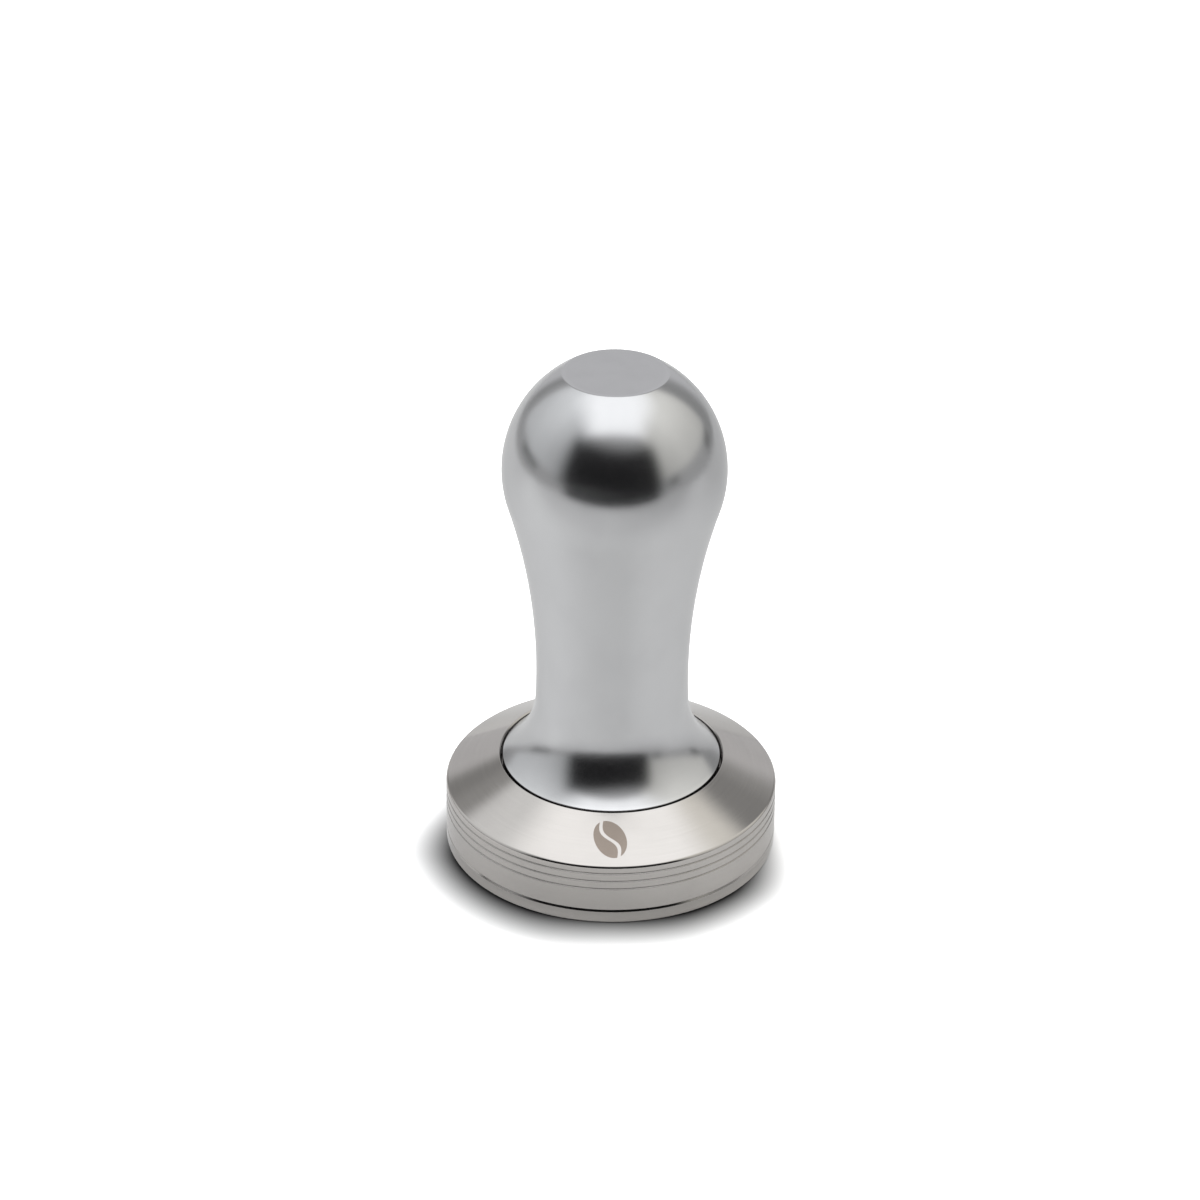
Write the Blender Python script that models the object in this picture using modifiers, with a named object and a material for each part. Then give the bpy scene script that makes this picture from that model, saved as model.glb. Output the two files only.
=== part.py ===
"""Espresso tamper: a turned steel base and a turned aluminium handle, joined by a threaded stud.

Metres, +Z up. The origin is the centre of the flat tamping face, which stands on z = 0. Every piece is
round about the Z axis, and the handle unscrews from the base along it.
"""

import math

import bmesh
import bpy

MM = 0.001

# Base
BASE_RADIUS = 29.25 * MM
SIDE_HEIGHT = 11.5 * MM
CONE_SLOPE = math.radians(28)
CONE_EDGE_ROUND = 0.8 * MM
BOTTOM_CHAMFER = 0.3 * MM
FINE_GROOVE_COUNT = 3
FINE_GROOVE_PITCH = 1.55 * MM
FINE_GROOVE_BELOW_EDGE = 1.35 * MM
FINE_GROOVE_WIDTH = 0.3 * MM
FINE_GROOVE_DEPTH = 0.15 * MM
BAND_HEIGHT = 2.5 * MM
BAND_GROOVE_WIDTH = 0.5 * MM
BAND_GROOVE_DEPTH = 0.2 * MM
BAND_GROOVE_SKEW = 0.8
RECESS_RADIUS = 19.6 * MM
RECESS_DEPTH = 2.6 * MM
RECESS_CHAMFER = 0.25 * MM
METAL_UNDER_HOLE = 2.36 * MM

# Handle, with heights counted from the rim of the base's recess
FOOT_GAP = 0.4 * MM
FOOT_DROP = 0.05 * MM
FLOOR_GAP = 0.3 * MM
FLARE_RADIUS = 16.0 * MM
WAIST_RADIUS = 13.3 * MM
WAIST_HEIGHT = 17.0 * MM
KNOB_RADIUS = 19.15 * MM
KNOB_ARC_RADIUS = 21.35 * MM
KNOB_HEIGHT = 56.5 * MM
TOP_FLAT_RADIUS = 8.8 * MM
TOP_EDGE_BREAK = 0.5 * MM

# Stud and its two threaded holes
THREAD_RADIUS = 4.0 * MM
THREAD_PITCH = 1.25 * MM
THREAD_CLEARANCE = 0.12 * MM
TOOTH_DEPTH_IN_PITCHES = 0.58
CREST_WIDTH_IN_PITCHES = 1 / 8
FLANK_ANGLE = math.radians(30)
ROOT_OVERLAP = 0.06 * MM
HELIX_START = math.radians(4)
STUD_LENGTH = 20.0 * MM
STUD_CHAMFER = 1.1 * MM
SOCKET_FLATS = 4.0 * MM
SOCKET_DEPTH = 4.0 * MM
HOLE_SPARE = 2.0 * MM
DRILL_TIP_SLOPE = math.radians(31)
COUNTERSINK = 0.6 * MM

# Ring between the handle and the base
RING_SECTION_RADIUS = 1.0 * MM
RING_STUD_GAP = 0.5 * MM
RING_GAP = 0.1 * MM
POCKET_GAP = 0.4 * MM

# Steps round the axis, and how far an arc's chords may cut inside it
BODY_STEPS = 56
THREAD_STEPS = 16
BORE_STEPS = 24
RING_STEPS = 32
RING_SECTION_STEPS = 12
CHORD_ERROR = 0.05 * MM
SHARP_ANGLE = math.radians(25)

# Sizes that follow from the ones above
RIM_Z = SIDE_HEIGHT + (BASE_RADIUS - RECESS_RADIUS - RECESS_CHAMFER) * math.tan(CONE_SLOPE)
FLOOR_Z = RIM_Z - RECESS_DEPTH
FOOT_RADIUS = RECESS_RADIUS - FOOT_GAP
RING_RADIUS = THREAD_RADIUS + RING_STUD_GAP + RING_SECTION_RADIUS
RING_Z = FLOOR_Z + RING_GAP + RING_SECTION_RADIUS
POCKET_RADIUS = RING_RADIUS + RING_SECTION_RADIUS + POCKET_GAP
POCKET_TOP_Z = RING_Z + RING_SECTION_RADIUS + RING_GAP
TOOTH_DEPTH = TOOTH_DEPTH_IN_PITCHES * THREAD_PITCH
BORE_RADIUS = THREAD_RADIUS - TOOTH_DEPTH + THREAD_CLEARANCE
DRILL_TIP = BORE_RADIUS * math.tan(DRILL_TIP_SLOPE)
STUD_BOTTOM_Z = METAL_UNDER_HOLE + DRILL_TIP + HOLE_SPARE
STUD_TOP_Z = STUD_BOTTOM_Z + STUD_LENGTH


def clear_scene():
    for obj in list(bpy.data.objects):
        bpy.data.objects.remove(obj, do_unlink=True)


def new_collection(name, hidden=False):
    collection = bpy.data.collections.new(name)
    bpy.context.scene.collection.children.link(collection)
    collection.hide_render = hidden
    return collection


def new_material(name, colour, metallic, roughness):
    material = bpy.data.materials.new(name)
    material.use_nodes = True
    shader = material.node_tree.nodes["Principled BSDF"]
    shader.inputs["Base Color"].default_value = (*colour, 1.0)
    shader.inputs["Metallic"].default_value = metallic
    shader.inputs["Roughness"].default_value = roughness
    return material


def add_object(name, mesh, collection, z=0.0):
    obj = bpy.data.objects.new(name, mesh)
    obj.location.z = z
    collection.objects.link(obj)
    return obj


def outline_object(name, outline, collection, closed=False, z=0.0):
    """An object holding a line of (radius, height) points in the XZ plane."""
    mesh = bpy.data.meshes.new(name)
    links = [(i, i + 1) for i in range(len(outline) - 1)]
    if closed:
        links.append((len(outline) - 1, 0))
    mesh.from_pydata([(radius, 0.0, height) for radius, height in outline], links, [])
    return add_object(name, mesh, collection, z)


def turned(name, outline, collection, steps, z=0.0):
    """A solid of revolution: its outline starts and ends on the axis and runs down the outer side."""
    obj = outline_object(name, outline, collection, z=z)
    screw = obj.modifiers.new("Turn", "SCREW")
    screw.axis = "Z"
    screw.angle = math.tau
    screw.steps = steps
    screw.render_steps = steps
    screw.use_merge_vertices = True
    screw.merge_threshold = 1e-6
    return obj


def bake(obj):
    """Replaces an object's modifiers by the mesh that they make."""
    graph = bpy.context.evaluated_depsgraph_get()
    mesh = bpy.data.meshes.new_from_object(obj.evaluated_get(graph))
    mesh.name = obj.name
    obj.modifiers.clear()
    obj.data = mesh


def boolean(obj, other, operation):
    modifier = obj.modifiers.new(f"{operation.title()} {other.name}", "BOOLEAN")
    modifier.operation = operation
    modifier.object = other
    modifier.solver = "EXACT"


def as_helper(obj):
    obj.hide_render = True
    obj.display_type = "WIRE"
    return obj


def arc(centre, radius, start, end):
    """Points on an arc about (radius, height) centre, both ends included."""
    largest_step = 2 * math.acos(1 - CHORD_ERROR / radius)
    count = math.ceil(abs(end - start) / largest_step)
    turns = [start + (end - start) * i / count for i in range(count + 1)]
    return [(centre[0] + radius * math.cos(a), centre[1] + radius * math.sin(a)) for a in turns]


def angle_from(centre, point):
    return math.atan2(point[1] - centre[1], point[0] - centre[0])


def groove(height, width, depth, skew=0.0):
    """A V groove in the base's upright side. A skew of 1 makes its upper flank square to the wall."""
    return [
        (BASE_RADIUS, height + width / 2),
        (BASE_RADIUS - depth, height + skew * width / 2),
        (BASE_RADIUS, height - width / 2),
    ]


def base_outline():
    edge_tangent = CONE_EDGE_ROUND * math.tan((math.pi / 2 - CONE_SLOPE) / 2)
    edge_centre = (BASE_RADIUS - CONE_EDGE_ROUND, SIDE_HEIGHT - edge_tangent)
    points = [
        (0.0, FLOOR_Z),
        (RECESS_RADIUS, FLOOR_Z),
        (RECESS_RADIUS, RIM_Z - RECESS_CHAMFER),
        (RECESS_RADIUS + RECESS_CHAMFER, RIM_Z),
    ]
    points += arc(edge_centre, CONE_EDGE_ROUND, math.pi / 2 - CONE_SLOPE, 0.0)
    for i in range(FINE_GROOVE_COUNT):
        height = SIDE_HEIGHT - FINE_GROOVE_BELOW_EDGE - i * FINE_GROOVE_PITCH
        points += groove(height, FINE_GROOVE_WIDTH, FINE_GROOVE_DEPTH)
    points += groove(BAND_HEIGHT, BAND_GROOVE_WIDTH, BAND_GROOVE_DEPTH, BAND_GROOVE_SKEW)
    points += [
        (BASE_RADIUS, BOTTOM_CHAMFER),
        (BASE_RADIUS - BOTTOM_CHAMFER, 0.0),
        (0.0, 0.0),
    ]
    return points


def waist_arc():
    """Centre and radius of the hollow arc that has the waist's radius and touches the knob's arc."""
    across = WAIST_RADIUS - (KNOB_RADIUS - KNOB_ARC_RADIUS)
    rise = KNOB_HEIGHT - WAIST_HEIGHT
    radius = (across**2 + rise**2 - KNOB_ARC_RADIUS**2) / (2 * (KNOB_ARC_RADIUS - across))
    return (WAIST_RADIUS + radius, WAIST_HEIGHT), radius


def flare_centre(waist_centre, waist_arc_radius, rim):
    """Centre of the arc that touches the waist's arc from inside and ends at the foot's rim."""
    across = rim[0] - waist_centre[0]
    rise = rim[1] - waist_centre[1]
    distance = math.hypot(across, rise)
    reach = waist_arc_radius - FLARE_RADIUS
    along = (reach**2 - FLARE_RADIUS**2 + distance**2) / (2 * distance)
    aside = math.sqrt(reach**2 - along**2)
    return (
        waist_centre[0] + (along * across + aside * rise) / distance,
        waist_centre[1] + (along * rise - aside * across) / distance,
    )


def handle_outline():
    """Knob, waist and flare are three arcs that touch. Heights are counted from the recess's rim."""
    knob_centre = (KNOB_RADIUS - KNOB_ARC_RADIUS, KNOB_HEIGHT)
    waist_centre, waist_arc_radius = waist_arc()
    rim = (FOOT_RADIUS, -FOOT_DROP)
    flare = flare_centre(waist_centre, waist_arc_radius, rim)
    flat_edge_angle = math.acos((TOP_FLAT_RADIUS - knob_centre[0]) / KNOB_ARC_RADIUS)
    knob_start = math.acos((TOP_FLAT_RADIUS + TOP_EDGE_BREAK - knob_centre[0]) / KNOB_ARC_RADIUS)
    knob_end = angle_from(knob_centre, waist_centre)
    waist_end = angle_from(waist_centre, flare) % math.tau
    flare_end = angle_from(flare, rim) % math.tau
    top = KNOB_HEIGHT + KNOB_ARC_RADIUS * math.sin(flat_edge_angle)
    foot_bottom = FLOOR_Z + FLOOR_GAP - RIM_Z
    pocket_top = POCKET_TOP_Z - RIM_Z
    return [
        (0.0, top),
        (TOP_FLAT_RADIUS - TOP_EDGE_BREAK, top),
        *arc(knob_centre, KNOB_ARC_RADIUS, knob_start, knob_end),
        *arc(waist_centre, waist_arc_radius, knob_end + math.pi, waist_end)[1:],
        *arc(flare, FLARE_RADIUS, waist_end, flare_end)[1:],
        (FOOT_RADIUS, foot_bottom),
        (POCKET_RADIUS, foot_bottom),
        (POCKET_RADIUS, pocket_top),
        (0.0, pocket_top),
    ]


def tooth_section(clearance):
    """Outline of one thread tooth, grown by a clearance, with its root a little way inside the core."""
    crest = THREAD_RADIUS + clearance
    root = crest - TOOTH_DEPTH - ROOT_OVERLAP
    half_crest = CREST_WIDTH_IN_PITCHES * THREAD_PITCH / 2
    half_crest += clearance / math.cos(FLANK_ANGLE) - clearance * math.tan(FLANK_ANGLE)
    half_root = half_crest + (crest - root) * math.tan(FLANK_ANGLE)
    return [(root, half_root), (crest, half_crest), (crest, -half_crest), (root, -half_root)]


def helical_ridge(name, low, high, clearance, collection):
    """A right-hand thread's tooth that reaches past both heights. All ridges share one helix."""
    first_turn = math.floor((low - FLOOR_Z) / THREAD_PITCH)
    last_turn = math.ceil((high - FLOOR_Z) / THREAD_PITCH)
    start = FLOOR_Z + first_turn * THREAD_PITCH
    obj = outline_object(name, tooth_section(clearance), collection, closed=True, z=start)
    obj.rotation_euler.z = HELIX_START
    screw = obj.modifiers.new("Helix", "SCREW")
    screw.axis = "Z"
    screw.angle = math.tau
    screw.screw_offset = THREAD_PITCH
    screw.iterations = last_turn - first_turn
    screw.steps = THREAD_STEPS
    screw.render_steps = THREAD_STEPS
    screw.use_merge_vertices = False
    bake(obj)
    cap_ends(obj.data)
    return as_helper(obj)


def cap_ends(mesh):
    work = bmesh.new()
    work.from_mesh(mesh)
    bmesh.ops.holes_fill(work, edges=[edge for edge in work.edges if edge.is_boundary], sides=0)
    bmesh.ops.recalc_face_normals(work, faces=work.faces)
    work.to_mesh(mesh)
    work.free()


def threaded_hole(name, mouth, stud_end, collection):
    """The cutter for a blind threaded hole that runs from its mouth to a little past the stud's end."""
    depth = abs(stud_end - mouth) + HOLE_SPARE
    direction = math.copysign(1, stud_end - mouth)
    widest = THREAD_RADIUS + THREAD_CLEARANCE + COUNTERSINK
    outline = [
        (0.0, -COUNTERSINK),
        (widest, -COUNTERSINK),
        (widest, 0.0),
        (BORE_RADIUS, widest - BORE_RADIUS),
        (BORE_RADIUS, depth),
        (0.0, depth + DRILL_TIP),
    ]
    outline = [(radius, direction * height) for radius, height in outline]
    if direction > 0:
        outline.reverse()
    cutter = turned(name, outline, collection, BORE_STEPS, z=mouth)
    low, high = sorted((mouth, stud_end + direction * THREAD_PITCH / 2))
    ridge = helical_ridge(f"{name}_ridge", low, high, THREAD_CLEARANCE, collection)
    boolean(cutter, ridge, "UNION")
    return as_helper(cutter)


def make_base(parts, cutters, material):
    base = turned("tamping_base", base_outline(), parts, BODY_STEPS)
    boolean(base, threaded_hole("base_hole", FLOOR_Z, STUD_BOTTOM_Z, cutters), "DIFFERENCE")
    base.data.materials.append(material)
    return base


def make_handle(parts, cutters, material):
    handle = turned("handle", handle_outline(), parts, BODY_STEPS, z=RIM_Z)
    boolean(handle, threaded_hole("handle_hole", POCKET_TOP_Z, STUD_TOP_Z, cutters), "DIFFERENCE")
    handle.data.materials.append(material)
    return handle


def make_stud(parts, cutters, material):
    """The thread is cut on a rod longer than the stud, and then trimmed to its chamfered ends."""
    core_radius = THREAD_RADIUS - TOOTH_DEPTH
    overshoot = 3 * THREAD_PITCH
    rod = [
        (0.0, STUD_LENGTH + overshoot),
        (core_radius, STUD_LENGTH + overshoot),
        (core_radius, -overshoot),
        (0.0, -overshoot),
    ]
    tip_radius = THREAD_RADIUS - STUD_CHAMFER
    clear_radius = THREAD_RADIUS + STUD_CHAMFER
    slope = clear_radius - tip_radius
    trimmed = [
        (0.0, STUD_LENGTH),
        (tip_radius, STUD_LENGTH),
        (clear_radius, STUD_LENGTH - slope),
        (clear_radius, slope),
        (tip_radius, 0.0),
        (0.0, 0.0),
    ]
    stud = turned("threaded_stud", rod, parts, BORE_STEPS, z=STUD_BOTTOM_Z)
    ridge = helical_ridge(
        "stud_ridge", STUD_BOTTOM_Z - THREAD_PITCH / 2, STUD_TOP_Z + THREAD_PITCH / 2, 0.0, cutters
    )
    limit = as_helper(turned("stud_limit", trimmed, cutters, BORE_STEPS, z=STUD_BOTTOM_Z))
    limit.rotation_euler.z = math.pi / BORE_STEPS
    boolean(stud, ridge, "UNION")
    boolean(stud, limit, "INTERSECT")
    boolean(stud, socket_cutter(cutters), "DIFFERENCE")
    stud.data.materials.append(material)
    return stud


def socket_cutter(cutters):
    """The hex socket in the stud's lower end."""
    mesh = bpy.data.meshes.new("hex_socket")
    work = bmesh.new()
    corner = SOCKET_FLATS / 2 / math.cos(math.pi / 6)
    bmesh.ops.create_cone(
        work, cap_ends=True, segments=6, radius1=corner, radius2=corner, depth=2 * SOCKET_DEPTH
    )
    work.to_mesh(mesh)
    work.free()
    return as_helper(add_object("hex_socket", mesh, cutters, STUD_BOTTOM_Z))


def make_ring(parts, material):
    bpy.ops.mesh.primitive_torus_add(
        major_radius=RING_RADIUS,
        minor_radius=RING_SECTION_RADIUS,
        major_segments=RING_STEPS,
        minor_segments=RING_SECTION_STEPS,
        location=(0.0, 0.0, RING_Z),
    )
    ring = bpy.context.object
    ring.name = "o_ring"
    for collection in list(ring.users_collection):
        collection.objects.unlink(ring)
    parts.objects.link(ring)
    ring.data.materials.append(material)
    return ring


def shade(obj):
    """Smooth shading that leaves the turned corners crisp."""
    bake(obj)
    obj.data.shade_smooth()
    obj.data.set_sharp_from_angle(angle=SHARP_ANGLE)


def main():
    clear_scene()
    parts = new_collection("espresso_tamper")
    cutters = new_collection("cutters", hidden=True)
    steel = new_material("brushed_steel", (0.56, 0.54, 0.51), 1.0, 0.32)
    aluminium = new_material("satin_aluminium", (0.80, 0.81, 0.83), 1.0, 0.24)
    zinc = new_material("zinc_plated_steel", (0.50, 0.51, 0.53), 1.0, 0.38)
    rubber = new_material("black_rubber", (0.02, 0.02, 0.022), 0.0, 0.7)
    made = [
        make_base(parts, cutters, steel),
        make_handle(parts, cutters, aluminium),
        make_stud(parts, cutters, zinc),
        make_ring(parts, rubber),
    ]
    for obj in made:
        shade(obj)


main()
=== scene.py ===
"""Espresso tamper: turned steel base, satin aluminium handle, threaded stud and rubber ring.

It stands on a white table. Metres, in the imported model's frame: the tamping face stands on z = 0,
+Z runs up the axis, and -Y is the front.
"""

import math
from typing import NamedTuple

import bpy
import numpy as np
from mathutils import Matrix, Vector


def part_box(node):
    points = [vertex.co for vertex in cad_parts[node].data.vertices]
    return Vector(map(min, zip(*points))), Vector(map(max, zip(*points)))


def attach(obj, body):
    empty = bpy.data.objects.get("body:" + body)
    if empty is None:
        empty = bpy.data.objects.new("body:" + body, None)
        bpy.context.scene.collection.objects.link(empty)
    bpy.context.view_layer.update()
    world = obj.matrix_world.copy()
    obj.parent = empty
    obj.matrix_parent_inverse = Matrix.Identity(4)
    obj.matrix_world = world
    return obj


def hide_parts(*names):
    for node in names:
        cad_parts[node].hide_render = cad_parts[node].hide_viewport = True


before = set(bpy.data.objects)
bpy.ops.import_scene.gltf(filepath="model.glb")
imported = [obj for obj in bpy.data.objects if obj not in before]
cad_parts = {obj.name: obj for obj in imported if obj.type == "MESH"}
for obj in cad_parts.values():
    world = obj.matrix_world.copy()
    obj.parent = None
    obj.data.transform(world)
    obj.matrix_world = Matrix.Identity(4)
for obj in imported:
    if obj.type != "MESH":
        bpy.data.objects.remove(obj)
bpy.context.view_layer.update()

MM = 0.001

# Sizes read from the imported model
BASE_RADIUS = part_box("tamping_base")[1].x
RIM_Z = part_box("tamping_base")[1].z
HANDLE_BOTTOM_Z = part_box("handle")[0].z
HANDLE_TOP_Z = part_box("handle")[1].z
KNOB_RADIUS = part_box("handle")[1].x
STUD_BOTTOM_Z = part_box("threaded_stud")[0].z
STUD_TOP_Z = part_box("threaded_stud")[1].z
RING_LOW, RING_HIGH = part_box("o_ring")

# Base
SIDE_HEIGHT = 11.5 * MM
CONE_SLOPE = math.radians(28)
CONE_EDGE_ROUND = 0.8 * MM
BOTTOM_CHAMFER = 0.3 * MM
BOTTOM_EDGE_ROUND = 0.08 * MM
FINE_GROOVE_COUNT = 3
FINE_GROOVE_PITCH = 1.55 * MM
FINE_GROOVE_BELOW_EDGE = 1.35 * MM
FINE_GROOVE_WIDTH = 0.3 * MM
FINE_GROOVE_DEPTH = 0.15 * MM
BAND_HEIGHT = 2.5 * MM
BAND_GROOVE_WIDTH = 0.5 * MM
BAND_GROOVE_DEPTH = 0.2 * MM
BAND_GROOVE_SKEW = 0.8
GROOVE_ROUND = 0.03 * MM
GROOVE_LIP_SHADE = 0.6
# Share of a groove's painted shade that its lips get
RECESS_RADIUS = 19.6 * MM
RECESS_DEPTH = 2.6 * MM
RECESS_CHAMFER = 0.25 * MM
RECESS_CORNER_ROUND = 0.15 * MM
CRISP_ROUND = 0.06 * MM
FLOOR_Z = RIM_Z - RECESS_DEPTH
METAL_UNDER_HOLE = 2.36 * MM

# Handle
FOOT_RADIUS = 19.2 * MM
FOOT_RIM_Z = RIM_Z - 0.05 * MM
FOOT_ROUND = 0.2 * MM
FLARE_RADIUS = 16.0 * MM
WAIST_RADIUS = 13.3 * MM
WAIST_Z = RIM_Z + 17.0 * MM
KNOB_ARC_RADIUS = 21.35 * MM
KNOB_Z = RIM_Z + 56.5 * MM
TOP_EDGE_ROUND = 1.0 * MM
TOP_EDGE_MARGIN = 0.5 * MM
POCKET_RADIUS = 6.9 * MM
POCKET_TOP_Z = 16.098 * MM
POCKET_CORNER_ROUND = 0.1 * MM
POCKET_EDGE_ROUND = 0.12 * MM

# Stud, ring and threads
THREAD_RADIUS = 4.0 * MM
THREAD_PITCH = 1.25 * MM
THREAD_CLEARANCE = 0.12 * MM
TOOTH_DEPTH = 0.58 * THREAD_PITCH
HALF_CREST = THREAD_PITCH / 16
HOLE_HALF_CREST = HALF_CREST + 0.07 * MM
FLANK_ANGLE = math.radians(30)
HELIX_START = math.radians(4)
BORE_RADIUS = THREAD_RADIUS - TOOTH_DEPTH + THREAD_CLEARANCE
DRILL_TIP = BORE_RADIUS * math.tan(math.radians(31))
DRILL_NORMAL = Vector((DRILL_TIP, BORE_RADIUS)).normalized()
HOLE_SPARE = 2.0 * MM
HOLE_PLAIN_END = 0.3 * MM
COUNTERSINK = 0.6 * MM
COUNTERSINK_LIP = 0.3 * MM
MOUTH_RADIUS = THREAD_RADIUS + THREAD_CLEARANCE + COUNTERSINK
STUD_CHAMFER = 1.1 * MM
STUD_EDGE = 0.1 * MM
SOCKET_FLATS = 4.0 * MM
SOCKET_DEPTH = 4.0 * MM
SOCKET_EDGE = 0.05 * MM
SOCKET_FLOOR_RISE = 0.4 * MM
RING_SECTION_RADIUS = (RING_HIGH.z - RING_LOW.z) / 2
RING_RADIUS = RING_HIGH.x - RING_SECTION_RADIUS
RING_Z = (RING_HIGH.z + RING_LOW.z) / 2
RING_SEAM = 0.03 * MM
RING_SEAM_SPREAD = 0.12

# The generic mark on the cone, in millimetres
BEAN_HALF_WIDTH = 2.7
BEAN_HALF_LENGTH = 3.75
BEAN_TILT = math.radians(24)
BEAN_SEAM = 0.32
BEAN_SEAM_SWAY = 0.75
BEAN_EDGE = 0.05

# How finely the surfaces are divided
BODY_STEPS = 256
THREAD_STEPS = 96
RING_STEPS = 128
RING_SECTION_STEPS = 48
ARC_STEP = math.radians(2.5)
WAIST_ARC_STEP = ARC_STEP / 3
CORNER_STEP = math.radians(12)
THREAD_ROWS_PER_PITCH = 14
SUPPORT_MARGIN = 0.05 * MM
SAME_PLACE = 1e-7
ON_AXIS = 1e-9

# Finishes, in linear colour
ALUMINIUM = (0.5, 0.503, 0.51)
STAINLESS = (0.456, 0.438, 0.420)
ETCHED_STAINLESS = (0.20, 0.158, 0.125)
ZINC = (0.50, 0.51, 0.53)
YELLOWED_ZINC = (0.56, 0.54, 0.47)
RUBBER = (0.014, 0.014, 0.015)
BLOOMED_RUBBER = (0.04, 0.04, 0.042)
METAL_EDGE_TINT = (0.8, 0.8, 0.8, 1.0)
ALUMINIUM_ROUGHNESS = 0.20
STAINLESS_ROUGHNESS = 0.19
ZINC_ROUGHNESS = 0.3
RUBBER_ROUGHNESS = 0.5
BRUSHING = 0.75
ROUND_THE_AXIS = 0.25


# ---------------------------------------------------------------- turned shapes


class Row(NamedTuple):
    """One ring of a turned surface.

    outward and upward are its normal. wear and the painted shade of grooves, corners, holes and
    threads go to the materials. tooth is the share of a thread's tooth that stands on the core,
    and hexagon is 1 where the circle is a hexagon instead.
    """

    radius: float
    height: float
    outward: float
    upward: float
    wear: float = 0.0
    # Painted shade: how far the colour darkens here, in grooves, corners, holes and threads
    dirt: float = 0.0
    tooth: float = 0.0
    hexagon: float = 0.0
    core: float = 0.0


class Corner(NamedTuple):
    """A corner of a turned outline, with its rounding and finish: wear, and painted shade in
    hollows.
    """

    radius: float
    height: float
    rounding: float = 0.0
    wear: float = 0.0
    # Painted shade: how far the colour darkens at this corner
    dirt: float = 0.0


def arc_rows(centre, radius, start, end, facing=1.0, step=ARC_STEP, **marks):
    """Rows on an arc in the (radius, height) plane. facing is -1 on a hollow arc."""
    count = max(2, math.ceil(abs(end - start) / step))
    rows = []
    for i in range(count + 1):
        angle = start + (end - start) * i / count
        across, up = math.cos(angle), math.sin(angle)
        place = (centre[0] + radius * across, centre[1] + radius * up)
        rows.append(Row(*place, facing * across, facing * up, **marks))
    return rows


def support_rows(corners, i, side, reach):
    """A row past corner i's rounding, after (1) or before (-1) it, that keeps its finish close."""
    corner, neighbour = corners[i], corners[i + side]
    place = Vector(corner[:2])
    along = Vector(neighbour[:2]) - place
    support = 2.0 * corner.rounding + SUPPORT_MARGIN
    both_worn = corner.wear > 0 and neighbour.wear > 0
    if both_worn or along.length - reach <= 2.5 * support:
        return []
    run = side * along.normalized()
    return [Row(*(place + side * run * (reach + support)), run.y, -run.x)]


def chain(corners):
    """Rows along the straight runs between corners. The solid is on the left."""
    points = [Vector(corner[:2]) for corner in corners]
    runs = [(b - a).normalized() for a, b in zip(points, points[1:])]
    rows = [Row(*points[0], runs[0].y, -runs[0].x)]
    for i in range(1, len(points) - 1):
        before, after, corner = runs[i - 1], runs[i], corners[i]
        turn = math.atan2(before.x * after.y - before.y * after.x, before.dot(after))
        reach = corner.rounding * math.tan(abs(turn) / 2)
        side = math.copysign(1, turn)
        inward = Vector((-before.y, before.x)) * side
        centre = points[i] - before * reach + inward * corner.rounding
        start = math.atan2(-inward.y, -inward.x)
        rows += support_rows(corners, i, -1, reach)
        rows += arc_rows(
            centre,
            corner.rounding,
            start,
            start + turn,
            facing=side,
            step=CORNER_STEP,
            wear=corner.wear,
            dirt=corner.dirt,
        )
        rows += support_rows(corners, i, 1, reach)
    rows.append(Row(*points[-1], runs[-1].y, -runs[-1].x))
    return rows


def thread_rows(radius, start, end):
    """Rows up a threaded rod. The tooth fades in at both ends."""
    count = math.ceil(abs(end - start) / THREAD_PITCH * THREAD_ROWS_PER_PITCH)
    rows = []
    for i in range(count + 1):
        height = start + (end - start) * i / count
        fade = min(1.0, min(i, count - i) / (THREAD_ROWS_PER_PITCH / 2))
        # The threaded length gets half the painted shade
        rows.append(Row(radius, height, 1.0, 0.0, dirt=0.5, tooth=fade, core=radius))
    return rows


def hole_rows(mouth_z, end_z):
    """Rows from a hole's countersink to the end of its thread, which runs out at the mouth."""
    into = math.copysign(1, end_z - mouth_z)
    length = abs(end_z - mouth_z) - COUNTERSINK_LIP
    count = math.ceil(length / THREAD_PITCH * THREAD_ROWS_PER_PITCH)
    rows = []
    for i in range(count + 1):
        depth = COUNTERSINK_LIP + length * i / count
        radius = max(BORE_RADIUS, MOUTH_RADIUS - depth)
        fade = min(1.0, (count - i) / (THREAD_ROWS_PER_PITCH / 2))
        height = mouth_z + into * depth
        # The threaded hole gets half the painted shade
        rows.append(Row(radius, height, -1.0, 0.0, dirt=0.5, tooth=fade, core=BORE_RADIUS))
    return rows


def tooth_share(heights, angles, half_crest):
    """How far a right-hand tooth stands out, from 0 to 1, at each height and angle."""
    half_root = half_crest + TOOTH_DEPTH * math.tan(FLANK_ANGLE)
    turns = (heights - FLOOR_Z) / THREAD_PITCH - (angles - HELIX_START) / math.tau
    away = np.abs(turns - np.round(turns)) * THREAD_PITCH
    return np.clip((half_root - away) / (half_root - half_crest), 0, 1)


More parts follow.
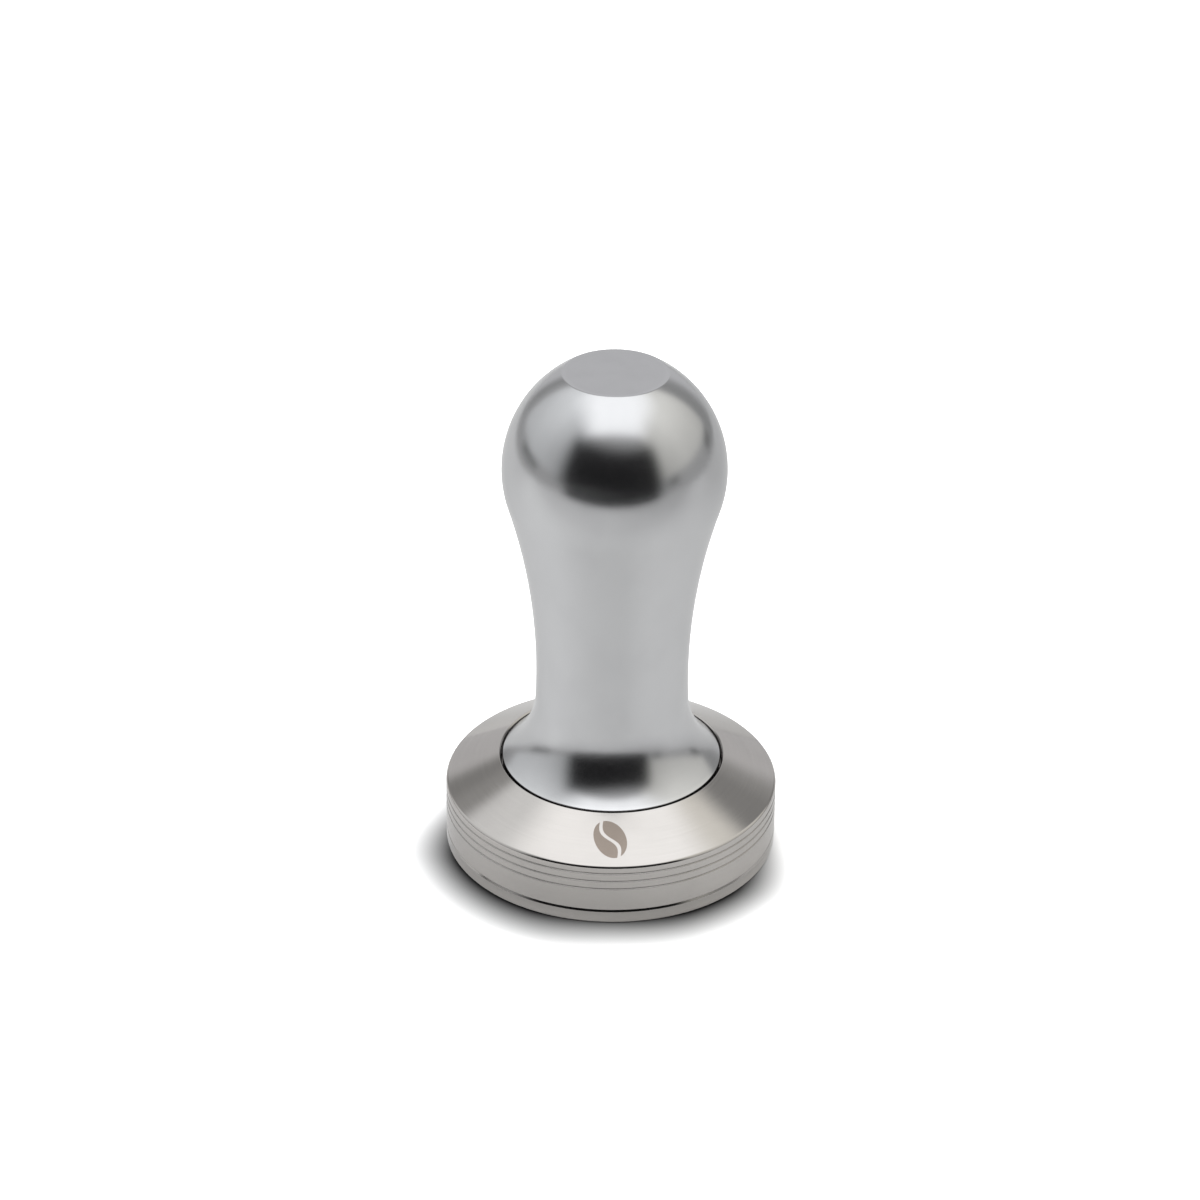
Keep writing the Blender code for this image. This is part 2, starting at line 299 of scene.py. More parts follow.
def turned(name, rows, steps, half_crest=HALF_CREST, closed=False):
    """A solid of revolution about Z, with smooth normals, and wear and painted shade as attributes.
    """
    rows = rows[:1] + [b for a, b in zip(rows, rows[1:]) if math.dist(a[:2], b[:2]) > SAME_PLACE]
    columns = np.array(rows).T[..., None]
    radius, height, outward, upward, _, _, tooth, hexagon, core = columns
    angles = np.arange(steps) * math.tau / steps
    tooth_height = tooth * TOOTH_DEPTH * tooth_share(height, angles, half_crest)
    across = np.maximum(radius, core + tooth_height)
    sixth = math.tau / 6
    across = across * (1 + hexagon * (1 / np.cos(angles % sixth - sixth / 2) - 1))
    cos, sin, every = np.cos(angles), np.sin(angles), np.ones_like(across)
    grid = np.stack([across * cos, across * sin, height * every], -1)
    normals = np.stack([outward * cos, outward * sin, upward * every], -1)

    # Threads and hexagons take their normals from the surface itself
    along = np.gradient(grid, axis=0)
    around = np.roll(grid, -1, 1) - np.roll(grid, 1, 1)
    computed = np.cross(around, along)
    computed /= np.maximum(np.linalg.norm(computed, axis=-1, keepdims=True), 1e-12)
    computed *= np.sign((computed * normals).sum(-1, keepdims=True) + 1e-9)
    shaped = ((tooth > 0) | (hexagon > 0))[..., None]
    normals = np.where(shaped, computed, normals)

    points, vertex_normals, wear, dirt, index = [], [], [], [], []
    for i, ring in enumerate(rows):
        if ring.radius < ON_AXIS and not closed:
            index.append([len(points)] * steps)
            points.append(grid[i, 0])
            vertex_normals.append((0.0, 0.0, ring.upward))
        else:
            index.append(range(len(points), len(points) + steps))
            points.extend(grid[i])
            vertex_normals.extend(normals[i])
        wear += [ring.wear] * (len(points) - len(wear))
        dirt += [ring.dirt] * (len(points) - len(dirt))
    faces = []
    for i in range(len(rows) if closed else len(rows) - 1):
        lower, upper = index[i], index[(i + 1) % len(rows)]
        for j in range(steps):
            k = (j + 1) % steps
            corners = list(dict.fromkeys((lower[j], lower[k], upper[k], upper[j])))
            if len(corners) > 2:
                faces.append(corners)

    mesh = bpy.data.meshes.new(name)
    mesh.from_pydata([tuple(p) for p in points], [], faces)
    mesh.shade_smooth()
    # The second attribute is the painted shade of grooves, corners, holes and threads
    for label, values in (("wear", wear), ("dirt", dirt)):
        layer = mesh.attributes.new(label, "FLOAT", "POINT")
        layer.data.foreach_set("value", np.array(values, np.float32))
    mesh.normals_split_custom_set_from_vertices([tuple(n) for n in vertex_normals])
    mesh.update()
    obj = bpy.data.objects.new(name, mesh)
    bpy.context.scene.collection.objects.link(obj)
    return obj


def groove(height, width, depth, wear=0.0, dirt=0.0, skew=0.0):
    """Corners of a V groove in the base's side, from below. A skew of 1 squares its upper flank."""
    # The groove's bottom gets painted shade, and its lips a share of it
    lip_dirt = GROOVE_LIP_SHADE * dirt
    bottom = height + skew * width / 2
    return [
        Corner(BASE_RADIUS, height - width / 2, GROOVE_ROUND, wear, lip_dirt),
        Corner(BASE_RADIUS - depth, bottom, GROOVE_ROUND, wear, dirt),
        Corner(BASE_RADIUS, height + width / 2, GROOVE_ROUND, wear, lip_dirt),
    ]


def make_base():
    # The grooves, the recess's inner corner and the hole get painted shade
    corners = [
        Corner(0.0, 0.0),
        Corner(BASE_RADIUS - BOTTOM_CHAMFER, 0.0, BOTTOM_EDGE_ROUND, wear=0.7),
        Corner(BASE_RADIUS, BOTTOM_CHAMFER, BOTTOM_EDGE_ROUND, wear=0.7),
        *groove(
            BAND_HEIGHT,
            BAND_GROOVE_WIDTH,
            BAND_GROOVE_DEPTH,
            wear=1.0,
            dirt=0.4,
            skew=BAND_GROOVE_SKEW,
        ),
    ]
    for i in reversed(range(FINE_GROOVE_COUNT)):
        height = SIDE_HEIGHT - FINE_GROOVE_BELOW_EDGE - i * FINE_GROOVE_PITCH
        corners += groove(height, FINE_GROOVE_WIDTH, FINE_GROOVE_DEPTH, dirt=0.6)
    cone_end = RECESS_RADIUS + RECESS_CHAMFER
    cone_end_z = SIDE_HEIGHT + (BASE_RADIUS - RECESS_RADIUS - RECESS_CHAMFER) * math.tan(CONE_SLOPE)
    corners += [
        Corner(BASE_RADIUS, SIDE_HEIGHT, CONE_EDGE_ROUND, wear=1.0),
        Corner(cone_end, cone_end_z, CRISP_ROUND, wear=0.8),
        Corner(RECESS_RADIUS, RIM_Z - RECESS_CHAMFER, CRISP_ROUND, wear=0.5),
        Corner(RECESS_RADIUS, FLOOR_Z, RECESS_CORNER_ROUND, dirt=1.0),
        Corner(MOUTH_RADIUS, FLOOR_Z, CRISP_ROUND, wear=0.4),
        Corner(MOUTH_RADIUS - COUNTERSINK_LIP, FLOOR_Z - COUNTERSINK_LIP),
    ]
    hole_end = METAL_UNDER_HOLE + DRILL_TIP
    rows = chain(corners) + hole_rows(FLOOR_Z, hole_end + HOLE_PLAIN_END)
    # The end of the hole gets full painted shade
    rows.append(Row(BORE_RADIUS, hole_end, -1.0, 0.0, dirt=1.0))
    rows.append(Row(0.0, METAL_UNDER_HOLE, -DRILL_NORMAL.x, DRILL_NORMAL.y, dirt=1.0))
    return turned("base_turned", rows, BODY_STEPS, HOLE_HALF_CREST)


def waist_arc():
    """Centre and radius of the hollow arc that makes the waist and touches the knob's arc."""
    across = WAIST_RADIUS - (KNOB_RADIUS - KNOB_ARC_RADIUS)
    rise = KNOB_Z - WAIST_Z
    radius = (across**2 + rise**2 - KNOB_ARC_RADIUS**2) / (2 * (KNOB_ARC_RADIUS - across))
    return Vector((WAIST_RADIUS + radius, WAIST_Z)), radius


def flare_centre(waist_centre, waist_arc_radius):
    """Centre of the arc that touches the waist's arc from inside and ends at the foot's rim."""
    to_rim = Vector((FOOT_RADIUS, FOOT_RIM_Z)) - waist_centre
    distance = to_rim.length
    reach = waist_arc_radius - FLARE_RADIUS
    along = (reach**2 - FLARE_RADIUS**2 + distance**2) / (2 * distance)
    aside = math.sqrt(reach**2 - along**2)
    unit = to_rim / distance
    return waist_centre + unit * along + Vector((unit.y, -unit.x)) * aside


def bearing(centre, point):
    """The direction of a point from a centre, from 0 to a full turn."""
    return math.atan2(point[1] - centre[1], point[0] - centre[0]) % math.tau


def make_handle():
    knob = Vector((KNOB_RADIUS - KNOB_ARC_RADIUS, KNOB_Z))
    waist, waist_arc_radius = waist_arc()
    flare = flare_centre(waist, waist_arc_radius)

    hole_end = STUD_TOP_Z + HOLE_SPARE
    # The hole's end, its thread and the pocket's inner corner get painted shade
    rows = [
        Row(0.0, hole_end + DRILL_TIP, -DRILL_NORMAL.x, -DRILL_NORMAL.y, dirt=1.0),
        Row(BORE_RADIUS, hole_end, -1.0, 0.0, dirt=1.0),
    ]
    rows += reversed(hole_rows(POCKET_TOP_Z, hole_end - HOLE_PLAIN_END))

    rim_radius = FOOT_RADIUS - FOOT_ROUND
    rim_z = flare.y - math.sqrt((FLARE_RADIUS + FOOT_ROUND) ** 2 - (rim_radius - flare.x) ** 2)
    rim = Vector((rim_radius, rim_z))
    rows += chain(
        [
            Corner(MOUTH_RADIUS - COUNTERSINK_LIP, POCKET_TOP_Z + COUNTERSINK_LIP),
            Corner(MOUTH_RADIUS, POCKET_TOP_Z, CRISP_ROUND, wear=0.3),
            Corner(POCKET_RADIUS, POCKET_TOP_Z, POCKET_CORNER_ROUND, dirt=0.6),
            Corner(POCKET_RADIUS, HANDLE_BOTTOM_Z, POCKET_EDGE_ROUND, wear=0.5),
            Corner(FOOT_RADIUS, HANDLE_BOTTOM_Z, FOOT_ROUND, wear=0.6),
            Corner(FOOT_RADIUS, rim_z),
        ]
    )
    rows += arc_rows(rim, FOOT_ROUND, 0.0, bearing(rim, flare), step=CORNER_STEP, wear=0.8)
    flare_start, flare_end = bearing(flare, rim), bearing(waist, flare)
    rows += arc_rows(flare, FLARE_RADIUS, flare_start, flare_end, facing=-1.0)
    waist_end = bearing(waist, knob)
    rows += arc_rows(waist, waist_arc_radius, flare_end, waist_end, -1.0, WAIST_ARC_STEP)

    fillet_z = HANDLE_TOP_Z - TOP_EDGE_ROUND
    fillet_reach = KNOB_ARC_RADIUS - TOP_EDGE_ROUND
    fillet_across = math.sqrt(fillet_reach**2 - (fillet_z - knob.y) ** 2)
    fillet = Vector((knob.x + fillet_across, fillet_z))
    fillet_start = bearing(knob, fillet)
    rows += arc_rows(knob, KNOB_ARC_RADIUS, waist_end - math.pi, fillet_start)
    rows += arc_rows(fillet, TOP_EDGE_ROUND, fillet_start, math.pi / 2, wear=0.5)
    rows.append(Row(fillet.x - TOP_EDGE_MARGIN, HANDLE_TOP_Z, 0.0, 1.0))
    rows.append(Row(0.0, HANDLE_TOP_Z, 0.0, 1.0))
    return turned("handle_turned", rows, BODY_STEPS, HOLE_HALF_CREST)


def make_stud():
    root = THREAD_RADIUS - TOOTH_DEPTH
    end = THREAD_RADIUS - STUD_CHAMFER
    socket = SOCKET_FLATS / 2
    floor_z = STUD_BOTTOM_Z + SOCKET_DEPTH
    # The socket's floor and walls get painted shade
    rows = [
        Row(0.0, floor_z - SOCKET_FLOOR_RISE, 0.0, -1.0, dirt=1.0),
        Row(socket * 0.98, floor_z, 0.0, -1.0, dirt=1.0, hexagon=1.0),
        Row(socket, floor_z - SOCKET_EDGE, -1.0, 0.0, dirt=0.8, hexagon=1.0),
        Row(socket, STUD_BOTTOM_Z + SOCKET_EDGE, -1.0, 0.0, hexagon=1.0),
        Row(socket * 1.02, STUD_BOTTOM_Z, 0.0, -1.0, wear=0.6, hexagon=1.0),
        Row(end, STUD_BOTTOM_Z, 0.0, -1.0, wear=0.6),
    ]
    rows += thread_rows(root, STUD_BOTTOM_Z + (root - end), STUD_TOP_Z - (root - end))
    rows += [
        Row(end, STUD_TOP_Z, 0.7, 0.7, wear=0.6),
        Row(end - STUD_EDGE, STUD_TOP_Z, 0.0, 1.0),
        Row(0.0, STUD_TOP_Z, 0.0, 1.0),
    ]
    return turned("stud_threaded", rows, THREAD_STEPS)


def make_ring():
    """A moulded ring, with the fine seam of its mould round the outside."""
    rows = []
    for i in range(RING_SECTION_STEPS):
        angle = math.tau * i / RING_SECTION_STEPS
        across, up = math.cos(angle), math.sin(angle)
        seam = RING_SEAM * math.exp(-((up / RING_SEAM_SPREAD) ** 2)) * (across > 0)
        reach = RING_SECTION_RADIUS + seam
        rows.append(Row(RING_RADIUS + reach * across, RING_Z + reach * up, across, up))
    return turned("ring_moulded", rows, RING_STEPS, closed=True)


# ---------------------------------------------------------------- node graphs


class Graph:
    """Short calls for adding nodes. A value is a number, a vector or another node's output."""

    def __init__(self, tree):
        self.tree = tree

    def give(self, socket, value):
        if isinstance(value, bpy.types.NodeSocket):
            self.tree.links.new(value, socket)
        else:
            socket.default_value = value

    def node(self, kind, inputs=None, **settings):
        node = self.tree.nodes.new(kind)
        for name, value in settings.items():
            setattr(node, name, value)
        for key, value in (inputs or {}).items():
            self.give(node.inputs[key], value)
        return node

    def math(self, operation, a, b=0.0):
        return self.node("ShaderNodeMath", {0: a, 1: b}, operation=operation).outputs[0]

    def add(self, total, *terms):
        for term in terms:
            total = self.math("ADD", total, term)
        return total

    def sub(self, a, b):
        return self.math("SUBTRACT", a, b)

    def mul(self, product, *factors):
        for factor in factors:
            product = self.math("MULTIPLY", product, factor)
        return product

    def div(self, a, b):
        return self.math("DIVIDE", a, b)

    def length(self, a, b):
        """The length of the vector (a, b)."""
        return self.math("SQRT", self.add(self.mul(a, a), self.mul(b, b)))

    def swing(self, noise, amount):
        """A number that swings about zero, from noise between 0 and 1."""
        return self.mul(self.sub(noise, 0.5), amount)

    def ramp(self, value, start, end, low=0.0, high=1.0):
        """A smooth step from low to high as value goes from start to end."""
        return self.node(
            "ShaderNodeMapRange",
            {"Value": value, "From Min": start, "From Max": end, "To Min": low, "To Max": high},
            interpolation_type="SMOOTHSTEP",
        ).outputs["Result"]

    def within(self, value, span, soft):
        """1 inside a span and 0 outside, with a half width for the soft edge at each end."""
        (low, high), (soft_low, soft_high) = span, soft
        return self.mul(
            self.ramp(value, low - soft_low, low + soft_low),
            self.ramp(value, high - soft_high, high + soft_high, 1.0, 0.0),
        )

    def vector(self, x, y, z):
        return self.node("ShaderNodeCombineXYZ", {0: x, 1: y, 2: z}).outputs[0]

    def mix(self, share, a, b):
        """A colour between a and b."""
        node = self.node("ShaderNodeMix", {0: share}, data_type="RGBA")
        for slot, value in ((6, a), (7, b)):
            constant = not isinstance(value, bpy.types.NodeSocket)
            self.give(node.inputs[slot], (*value, 1.0) if constant else value)
        return node.outputs[2]

    def scaled(self, colour, factor):
        """A colour times a number that varies over the surface."""
        inputs = {0: colour, "Scale": factor}
        return self.node("ShaderNodeVectorMath", inputs, operation="SCALE").outputs[0]


class Surface(Graph):
    """A metal or rubber material, with the coordinates that its patterns share."""

    def __init__(self, name):
        self.material = bpy.data.materials.new(name)
        self.material.use_nodes = True
        super().__init__(self.material.node_tree)
        self.shader = self.tree.nodes["Principled BSDF"]
        self.place = self.node("ShaderNodeTexCoord").outputs["Object"]
        self.x, self.y, self.z = self.node("ShaderNodeSeparateXYZ", {0: self.place}).outputs
        self.radius = self.length(self.x, self.y)
        safe = self.math("MAXIMUM", self.radius, 1e-6)
        self.cos, self.sin = self.div(self.x, safe), self.div(self.y, safe)

    def attribute(self, name):
        return self.node("ShaderNodeAttribute", attribute_name=name).outputs["Fac"]

    def lines(self, spacing, breaks, detail=2.0, seed=0.0):
        """Noise drawn out round the axis: turned lines, with about so many breaks in a turn."""
        scale = 1.0 / spacing
        where = self.vector(
            self.mul(self.z, scale), self.mul(self.radius, scale), self.mul(self.cos, breaks)
        )
        fourth = self.add(self.mul(self.sin, breaks), seed)
        return self.node(
            "ShaderNodeTexNoise",
            {"Vector": where, "W": fourth, "Scale": 1.0, "Detail": detail, "Roughness": 0.6},
            noise_dimensions="4D",
        ).outputs[0]

    def cloud(self, size, detail=3.0, stretch=(1.0, 1.0, 1.0), seed=0.0):
        """Soft patches about size across."""
        shifted = self.node(
            "ShaderNodeMapping",
            {"Vector": self.place, "Location": (seed, -seed, seed / 2), "Scale": stretch},
        ).outputs[0]
        return self.node(
            "ShaderNodeTexNoise",
            {"Vector": shifted, "Scale": 1.0 / size, "Detail": detail, "Roughness": 0.55},
        ).outputs[0]

    def set(self, name, value):
        self.give(self.shader.inputs[name], value)

    def bump(self, *layers):
        """Relief from (height, depth in metres) layers."""
        normal = None
        for height, depth in layers:
            inputs = {"Height": height, "Distance": depth, "Strength": 1.0}
            if normal is not None:
                inputs["Normal"] = normal
            normal = self.node("ShaderNodeBump", inputs).outputs[0]
        self.set("Normal", normal)


def handle_material():
    """Satin aluminium: very fine turned lines and faint smudges."""
    m = Surface("satin_aluminium")
    wear = m.attribute("wear")
    smudge = m.ramp(m.cloud(size=6 * MM, detail=2.0, stretch=(1.0, 1.0, 0.6)), 0.35, 0.75)
    fine = m.lines(spacing=0.12 * MM, breaks=3.0)
    shade = m.add(m.swing(fine, 0.04), m.mul(smudge, -0.03), 1.0, m.mul(wear, 0.06))
    m.set("Base Color", m.scaled(ALUMINIUM, shade))
    m.set("Metallic", 1.0)
    rough = m.add(ALUMINIUM_ROUGHNESS, m.add(m.mul(smudge, 0.02), m.swing(fine, 0.04)))
    m.set("Roughness", m.sub(rough, m.mul(wear, 0.05)))
    m.set("Specular Tint", METAL_EDGE_TINT)
    m.bump((fine, 0.15e-6))
    return m.material


def bean_mask(m):
    """The etched coffee bean on the cone's front, as 1 inside it and 0 outside."""
    across = m.div(m.x, MM)
    middle = (RECESS_RADIUS + BASE_RADIUS) / 2
    along = m.div(m.sub(m.radius, middle), MM * math.cos(CONE_SLOPE))
    cos, sin = math.cos(BEAN_TILT), math.sin(BEAN_TILT)
    u = m.add(m.mul(across, cos), m.mul(along, -sin))
    v = m.add(m.mul(across, sin), m.mul(along, cos))
    reach = m.length(m.div(u, BEAN_HALF_WIDTH), m.div(v, BEAN_HALF_LENGTH))
    inside = m.ramp(reach, 0.985, 1.015, 1.0, 0.0)
    curve = m.mul(m.math("SINE", m.mul(v, math.pi / BEAN_HALF_LENGTH)), BEAN_SEAM_SWAY)
    off_seam = m.math("ABSOLUTE", m.sub(u, curve))
    beside_seam = m.ramp(off_seam, BEAN_SEAM - BEAN_EDGE, BEAN_SEAM + BEAN_EDGE)
    front = m.math("LESS_THAN", m.y, 0.0)
    on_cone = m.math("GREATER_THAN", m.z, SIDE_HEIGHT)
    return m.mul(inside, beside_seam, front, on_cone)


def base_material():
    """Stainless steel: brushed round the axis, polished at worn edges, painted shade in grooves."""
    m = Surface("brushed_stainless")
    wear, dirt = m.attribute("wear"), m.attribute("dirt")
    fine = m.lines(spacing=0.07 * MM, breaks=2.0)
    coarse = m.lines(spacing=0.35 * MM, breaks=1.5, detail=3.0, seed=4.0)
    smudge = m.ramp(m.cloud(size=9 * MM, seed=0.3), 0.35, 0.8)
    shade = m.add(m.swing(fine, 0.10), m.swing(coarse, 0.10), 1.0, m.mul(smudge, -0.04))
    # Painted shade: the colour darkens in the grooves, the recess's inner corner and the hole
    shade = m.mul(shade, m.sub(1.0, m.mul(dirt, 0.75)))
    mark = bean_mask(m)
    steel = m.scaled(STAINLESS, shade)
    m.set("Base Color", m.mix(m.mul(mark, 0.8), steel, ETCHED_STAINLESS))
    m.set("Metallic", 1.0)
    rough = m.add(STAINLESS_ROUGHNESS, m.add(m.swing(coarse, 0.08), m.mul(smudge, 0.03)))
    rough = m.sub(rough, m.mul(wear, 0.11))
    m.set("Roughness", m.add(rough, m.mul(mark, 0.15)))
    m.set("Anisotropic", BRUSHING)
    m.set("Anisotropic Rotation", ROUND_THE_AXIS)
    m.set("Specular Tint", METAL_EDGE_TINT)
    tangent = m.node("ShaderNodeTangent", direction_type="RADIAL", axis="Z").outputs[0]
    m.set("Tangent", tangent)
    unworn = m.sub(1.0, wear)
    m.bump((m.mul(fine, unworn), 0.5e-6), (m.mul(coarse, unworn), 0.8e-6))
    return m.material


def stud_material():
    """Zinc plated steel: yellowed in patches, with painted shade in the thread and socket."""
    m = Surface("zinc_plated_steel")
    wear, dirt = m.attribute("wear"), m.attribute("dirt")
    tint = m.ramp(m.cloud(size=2.5 * MM), 0.35, 0.7)
    # Painted shade: the colour darkens in the thread and the socket
    shade = m.add(m.sub(1.0, m.mul(dirt, 0.35)), m.mul(wear, 0.2))
    m.set("Base Color", m.scaled(m.mix(tint, ZINC, YELLOWED_ZINC), shade))
    m.set("Metallic", 1.0)
    m.set("Roughness", m.add(ZINC_ROUGHNESS, m.mul(m.cloud(size=0.6 * MM, seed=1.0), 0.2)))
    m.bump((m.cloud(size=0.25 * MM), 3e-6))
    return m.material


def ring_material():
    """Black rubber, with a faint grey bloom."""
    m = Surface("black_rubber")
    grain = m.cloud(size=0.18 * MM, detail=4.0)
    bloom = m.ramp(m.cloud(size=3 * MM, seed=2.0), 0.45, 0.75)
    m.set("Base Color", m.mix(m.mul(bloom, 0.6), RUBBER, BLOOMED_RUBBER))
    m.set("Roughness", m.add(RUBBER_ROUGHNESS, m.mul(grain, 0.25)))
    m.bump((grain, 8e-6))
    return m.material


# ---------------------------------------------------------------- studio

TABLE_HALF_WIDTH = 0.55
TABLE_FRONT = -0.34
TABLE_BACK = 3.0
TABLE_WHITE = 0.76
TABLE_OVEREXPOSURE = 1.7
# The painted contact shadow on the table, which only the camera sees
CONTACT_SHADE = 0.035
CONTACT_SHADE_PER_MM = 0.175


def make_table():
    """A white table top. Its front edge lies between the tamper and the camera's foot.

    The metal sees white with painted light, uneven as in a room with side light: dimmer to the
    right, in front and behind, and brighter close to the base with painted bounced light. The
    camera sees it overexposed, with a painted contact shadow that darkens towards the base on all
    sides but the back.
    """
    left, right = -TABLE_HALF_WIDTH, TABLE_HALF_WIDTH
    outline = [
        (left, TABLE_FRONT, 0),
        (right, TABLE_FRONT, 0),
        (right, TABLE_BACK, 0),
        (left, TABLE_BACK, 0),
    ]
    mesh = bpy.data.meshes.new("table_top")
    mesh.from_pydata(outline, [], [(0, 1, 2, 3)])
    table = bpy.data.objects.new("table_top", mesh)
    bpy.context.scene.collection.objects.link(table)
    material = bpy.data.materials.new("white_table")
    material.use_nodes = True
    g = Graph(material.node_tree)
    g.tree.nodes.clear()
    place = g.node("ShaderNodeTexCoord").outputs["Object"]
    x, y, _ = g.node("ShaderNodeSeparateXYZ", {0: place}).outputs
    radius = g.length(x, y)

    # Painted light seen in the metal: dimmer to the right, in front and behind
    to_right = g.ramp(x, -0.06, 0.22, TABLE_WHITE, 0.76 * TABLE_WHITE)
    to_front = g.ramp(y, -0.13, -0.03, 0.84, 1.0)
    to_back = g.ramp(y, -0.02, 0.12, 1.0, 0.84)
    # Painted bounced light: brighter close to the base, more so on the left
    bounce_left_to_right = g.ramp(x, -BASE_RADIUS, BASE_RADIUS, 1.28, 1.14)
    painted_bounce = g.ramp(radius, BASE_RADIUS, BASE_RADIUS + 8 * MM, bounce_left_to_right, 1.0)
    white = g.mul(to_right, to_front, to_back, painted_bounce)

    # Painted contact shadow for the camera only: darkest at the base, lighter at the back and front
    # middle
    off_base = g.div(g.sub(radius, BASE_RADIUS), MM)
    lit_back = g.ramp(g.add(y, g.mul(x, 0.18)), -17 * MM, 9 * MM, 0.0, 7.0)
    lit_front = g.ramp(g.math("ABSOLUTE", x), 0.0, 15 * MM, 1.4, 0.0)
    clear = g.add(off_base, g.add(lit_back, lit_front))
    shade = g.add(CONTACT_SHADE, g.mul(clear, CONTACT_SHADE_PER_MM))
    shade = g.math("MAXIMUM", shade, CONTACT_SHADE)
    glare = g.math("MINIMUM", shade, TABLE_OVEREXPOSURE)

    seen = g.node("ShaderNodeLightPath").outputs["Is Camera Ray"]
    bright = g.add(white, g.mul(seen, g.sub(g.mul(TABLE_WHITE, glare), white)))
    diffuse = g.node("ShaderNodeBsdfDiffuse", {"Color": g.vector(bright, bright, bright)})
    g.node("ShaderNodeOutputMaterial", {"Surface": diffuse.outputs[0]})
    mesh.materials.append(material)


class Panel(NamedTuple):
    """A patch of the room, in degrees of azimuth and elevation, with soft edges."""

    azimuth: tuple
    elevation: tuple
    soft_azimuth: tuple = (3.0, 3.0)
    soft_elevation: tuple = (2.0, 2.0)


ROOM = (0.5, 0.5, 0.5)
BACKDROP = (0.85, 0.85, 0.865)
BACKDROP_EDGE = (143.0, 152.0)
LOW_THINGS = (
    Panel((-114, -86), (-2, 4), (5.0, 4.0)),
    Panel((56, 68), (-3, 4), (4.0, 4.0)),
    Panel((113, 126), (-3, 4), (4.0, 4.0)),
)
LOW_THING_SHADE = (0.16, 0.16, 0.16)
GAPS = (
    Panel((-147, -140), (2, 38), soft_elevation=(4.0, 4.0)),
    Panel((128, 141), (-8, 44), soft_elevation=(4.0, 4.0)),
)
GAP_SHADE = (0.4, 0.4, 0.4)
LEFT_WALL = Panel((-132, -40), (4, 75))
LEFT_TINT = (0.985, 1.0, 1.01)
RIGHT_WALL = Panel((40, 126), (6, 75))
RIGHT_TINT = (1.01, 1.0, 0.95)
CEILING_ACROSS = (-0.6, 0.62)
CEILING_ALONG = (-0.74, 0.26)
CEILING_LAMP = (1.84, 1.85, 1.87)
VOID = Panel((-57.0, 49.5), (-1.0, 43.5), (11.0, 8.0), (5.0, 9.0))
UNDER_VOID = Panel((-50, 46), (-30, 1), (5.0, 6.0), (4.0, 4.0))
DARK = (0.012, 0.012, 0.013)
CAMERA_WHITE = (1.1, 1.1, 1.1)


def make_world():
    """The room round the table, by direction: azimuth 0 is the front and 90 the right.

    Two light walls stand at the sides, a bright ceiling hangs above, and the front is a dark void.
    The camera itself sees only white.
    """
    world = bpy.data.worlds.new("studio")
    bpy.context.scene.world = world
    world.use_nodes = True
    g = Graph(world.node_tree)
    g.tree.nodes.clear()
    direction = g.node("ShaderNodeTexCoord").outputs["Generated"]
    x, y, z = g.node("ShaderNodeSeparateXYZ", {0: direction}).outputs
    azimuth = g.math("DEGREES", g.math("ARCTAN2", x, g.mul(y, -1.0)))
    elevation = g.math("DEGREES", g.math("ARCSINE", z))

    def panel(patch, height=elevation):
        return g.mul(
            g.within(azimuth, patch.azimuth, patch.soft_azimuth),
            g.within(height, patch.elevation, patch.soft_elevation),
        )

    backdrop = g.ramp(g.math("ABSOLUTE", azimuth), *BACKDROP_EDGE)
    colour = g.mix(backdrop, ROOM, BACKDROP)
    colour = g.mix(g.add(*map(panel, LOW_THINGS)), colour, LOW_THING_SHADE)
    colour = g.mix(g.add(*map(panel, GAPS)), colour, GAP_SHADE)

    rise = g.ramp(elevation, 5.0, 58.0, 0.86, 1.28)
    left = g.mul(rise, g.ramp(azimuth, -100.0, -60.0, 1.0, 0.72))
    right = g.mul(rise, g.ramp(azimuth, 50.0, 85.0, 0.8, 1.0))
    colour = g.mix(panel(LEFT_WALL), colour, g.scaled(LEFT_TINT, left))
    colour = g.mix(panel(RIGHT_WALL), colour, g.scaled(RIGHT_TINT, right))

    above = g.math("MAXIMUM", z, 0.02)
    ceiling = g.mul(
        g.within(g.div(x, above), CEILING_ACROSS, (0.3, 0.3)),
        g.within(g.div(y, above), CEILING_ALONG, (0.14, 0.12)),
        g.ramp(elevation, 20.0, 30.0),
    )
    colour = g.mix(ceiling, colour, CEILING_LAMP)

    tilted = g.add(elevation, g.ramp(azimuth, -30.0, 45.0, 0.0, 5.0))
    dark = g.math("MAXIMUM", panel(VOID, tilted), panel(UNDER_VOID))
    colour = g.mix(dark, colour, DARK)
    seen = g.node("ShaderNodeLightPath").outputs["Is Camera Ray"]
    colour = g.mix(seen, colour, CAMERA_WHITE)
    background = g.node("ShaderNodeBackground", {"Color": colour, "Strength": 1.0})
    g.node("ShaderNodeOutputWorld", {"Surface": background.outputs[0]})


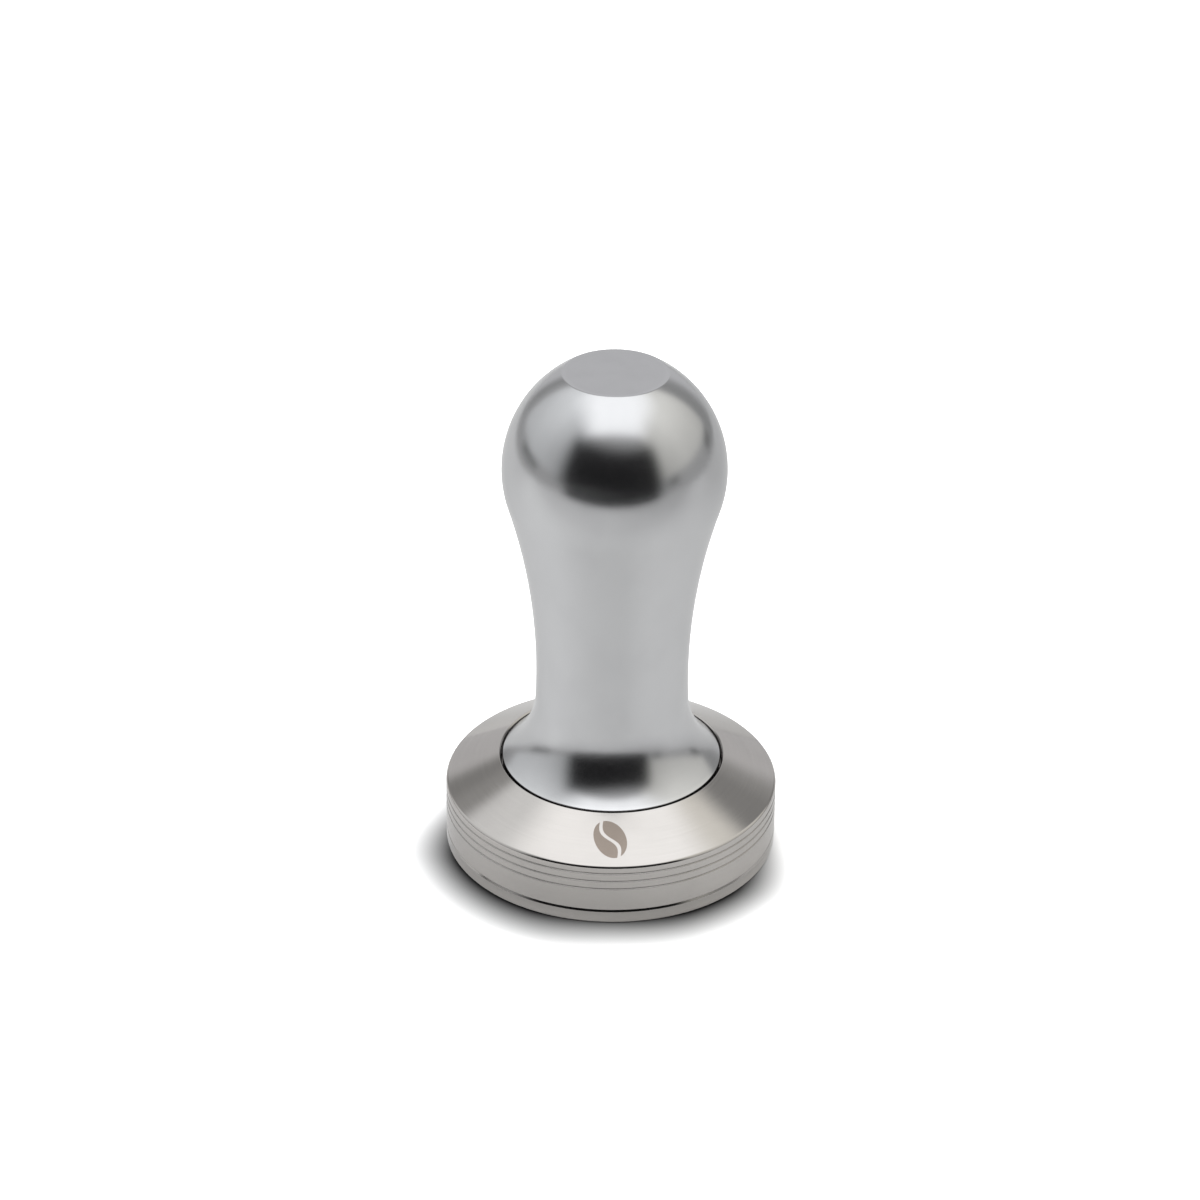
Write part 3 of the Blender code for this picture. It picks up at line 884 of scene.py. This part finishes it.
KEY_PLACE = Vector((0.16, 0.68, 0.85))
KEY_SIZE = (1.3, 0.7)
KEY_WATTS = 9.5


def make_key_light():
    """A large lamp up behind, a little to the right. It isn't seen in the metal."""
    lamp = bpy.data.lights.new("key", "AREA")
    lamp.shape = "RECTANGLE"
    lamp.size, lamp.size_y = KEY_SIZE
    lamp.energy = KEY_WATTS
    key = bpy.data.objects.new("key", lamp)
    bpy.context.scene.collection.objects.link(key)
    key.location = KEY_PLACE
    key.rotation_euler = (-KEY_PLACE).to_track_quat("-Z", "Y").to_euler()
    key.visible_glossy = False


CAMERA_PLACE = Vector((0.0, -0.5577, 0.3705))
CAMERA_FORWARD = Vector((-0.0035, 0.86525, -0.50133)).normalized()
CAMERA_ROLL = math.radians(0.56)
SENSOR_WIDTH_MM = 36.0
FOCAL_LENGTH_MM = 111.96


def make_camera():
    """A long lens, looking 30 degrees down from the front."""
    level = CAMERA_FORWARD.cross(Vector((0, 0, 1))).normalized()
    upright = level.cross(CAMERA_FORWARD)
    right = level * math.cos(CAMERA_ROLL) + upright * math.sin(CAMERA_ROLL)
    up = upright * math.cos(CAMERA_ROLL) - level * math.sin(CAMERA_ROLL)
    data = bpy.data.cameras.new("camera")
    data.sensor_width = SENSOR_WIDTH_MM
    data.lens = FOCAL_LENGTH_MM
    camera = bpy.data.objects.new("camera", data)
    bpy.context.scene.collection.objects.link(camera)
    turn = Matrix((right, up, -CAMERA_FORWARD)).transposed().to_4x4()
    camera.matrix_world = Matrix.Translation(CAMERA_PLACE) @ turn
    bpy.context.scene.camera = camera


PIECES = (
    (make_base, base_material, "tamping_base", "base", "base_steel"),
    (make_handle, handle_material, "handle", "handle", "handle_aluminium"),
    (make_stud, stud_material, "threaded_stud", "handle", "stud_steel"),
    (make_ring, ring_material, "o_ring", "ring", "ring_rubber"),
)
for make_piece, make_material, node, body, slot in PIECES:
    piece = make_piece()
    piece.data.materials.append(make_material())
    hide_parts(node)
    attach(piece, body)

make_table()
make_world()
make_key_light()
make_camera()
bpy.context.scene.view_settings.view_transform = "Standard"
